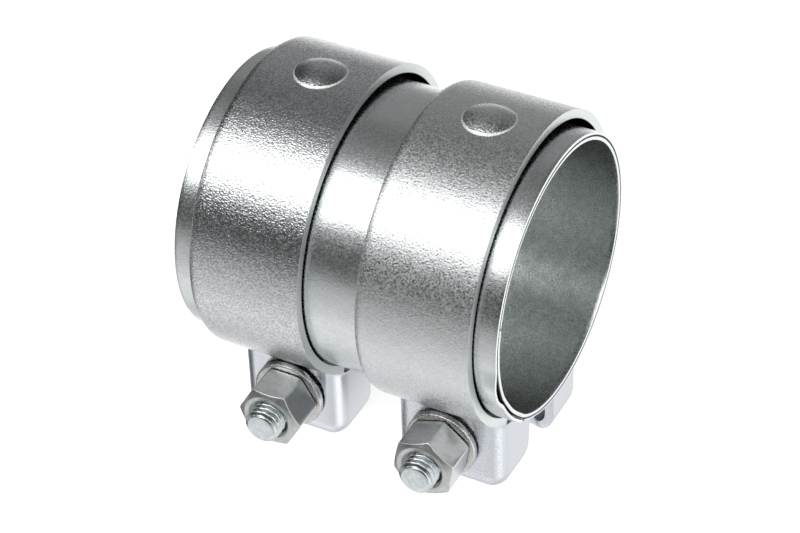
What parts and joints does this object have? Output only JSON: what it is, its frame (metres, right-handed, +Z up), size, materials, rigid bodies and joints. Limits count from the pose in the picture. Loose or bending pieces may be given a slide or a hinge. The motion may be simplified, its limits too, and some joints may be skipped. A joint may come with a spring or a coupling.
{
  "type": "pipe repair clamp",
  "caption": "Rolled double-wall sleeve for a butt joint in a pipe, held by wide bands with boxed ears, each tightened by a hexagon bolt and nut.",
  "frame": {"origin": "middle of the pipe bore, halfway along its length", "axes": "+X along the pipe, +Z up and away from the bolts, -Y towards the threaded ends of the bolts"},
  "size_m": [0.0732, 0.0675, 0.0837],
  "materials": {
    "liner": "dull rolled steel",
    "sleeve": "smooth bright zinc plate",
    "band": "bright zinc plate with a fine speckled grain",
    "bolt": "bright zinc plate",
    "washer": "zinc plate, matt sheared edge",
    "nut": "satin warm grey plate"
  },
  "bodies": {
    "sleeves_and_near_bands": {"liner": "liner", "outer_sleeve": "sleeve", "left_band_near": "band", "right_band_near": "band"},
    "left_far_band": {"left_band_far": "band", "left_bolt": "bolt"},
    "left_washer": {"left_washer": "washer"},
    "left_nut": {"left_nut": "nut"},
    "right_far_band": {"right_band_far": "band", "right_bolt": "bolt"},
    "right_washer": {"right_washer": "washer"},
    "right_nut": {"right_nut": "nut"}
  },
  "joints": [
    {"name": "left_band_flex", "type": "hinge", "parent": "sleeves_and_near_bands", "child": "left_far_band", "pos_m": [-0.0191, 0.007, 0.03236], "axis": [-1, 0, 0], "range_deg": [0, 1.6]},
    {"name": "left_washer_slide", "type": "slide", "parent": "left_far_band", "child": "left_washer", "axis": [0, 1, 0], "range_m": [0, 0.0019]},
    {"name": "left_nut_turn", "type": "hinge", "parent": "left_washer", "child": "left_nut", "pos_m": [-0.0183, -0.02, -0.03675], "axis": [0, 1, 0], "range_deg": [0, 540]},
    {"name": "right_band_flex", "type": "hinge", "parent": "sleeves_and_near_bands", "child": "right_far_band", "pos_m": [0.0191, 0.007, 0.03236], "axis": [-1, 0, 0], "range_deg": [0, 1.6]},
    {"name": "right_washer_slide", "type": "slide", "parent": "right_far_band", "child": "right_washer", "axis": [0, 1, 0], "range_m": [0, 0.0019]},
    {"name": "right_nut_turn", "type": "hinge", "parent": "right_washer", "child": "right_nut", "pos_m": [0.0183, -0.02, -0.03675], "axis": [0, 1, 0], "range_deg": [0, 540]}
  ],
  "couplings": [
    {"joint": "left_band_flex", "follows": "left_nut_turn", "ratio": 0.0028787},
    {"joint": "left_washer_slide", "follows": "left_nut_turn", "m_per_rad": 0.00019894},
    {"joint": "right_band_flex", "follows": "right_nut_turn", "ratio": 0.0028787},
    {"joint": "right_washer_slide", "follows": "right_nut_turn", "m_per_rad": 0.00019894}
  ]
}
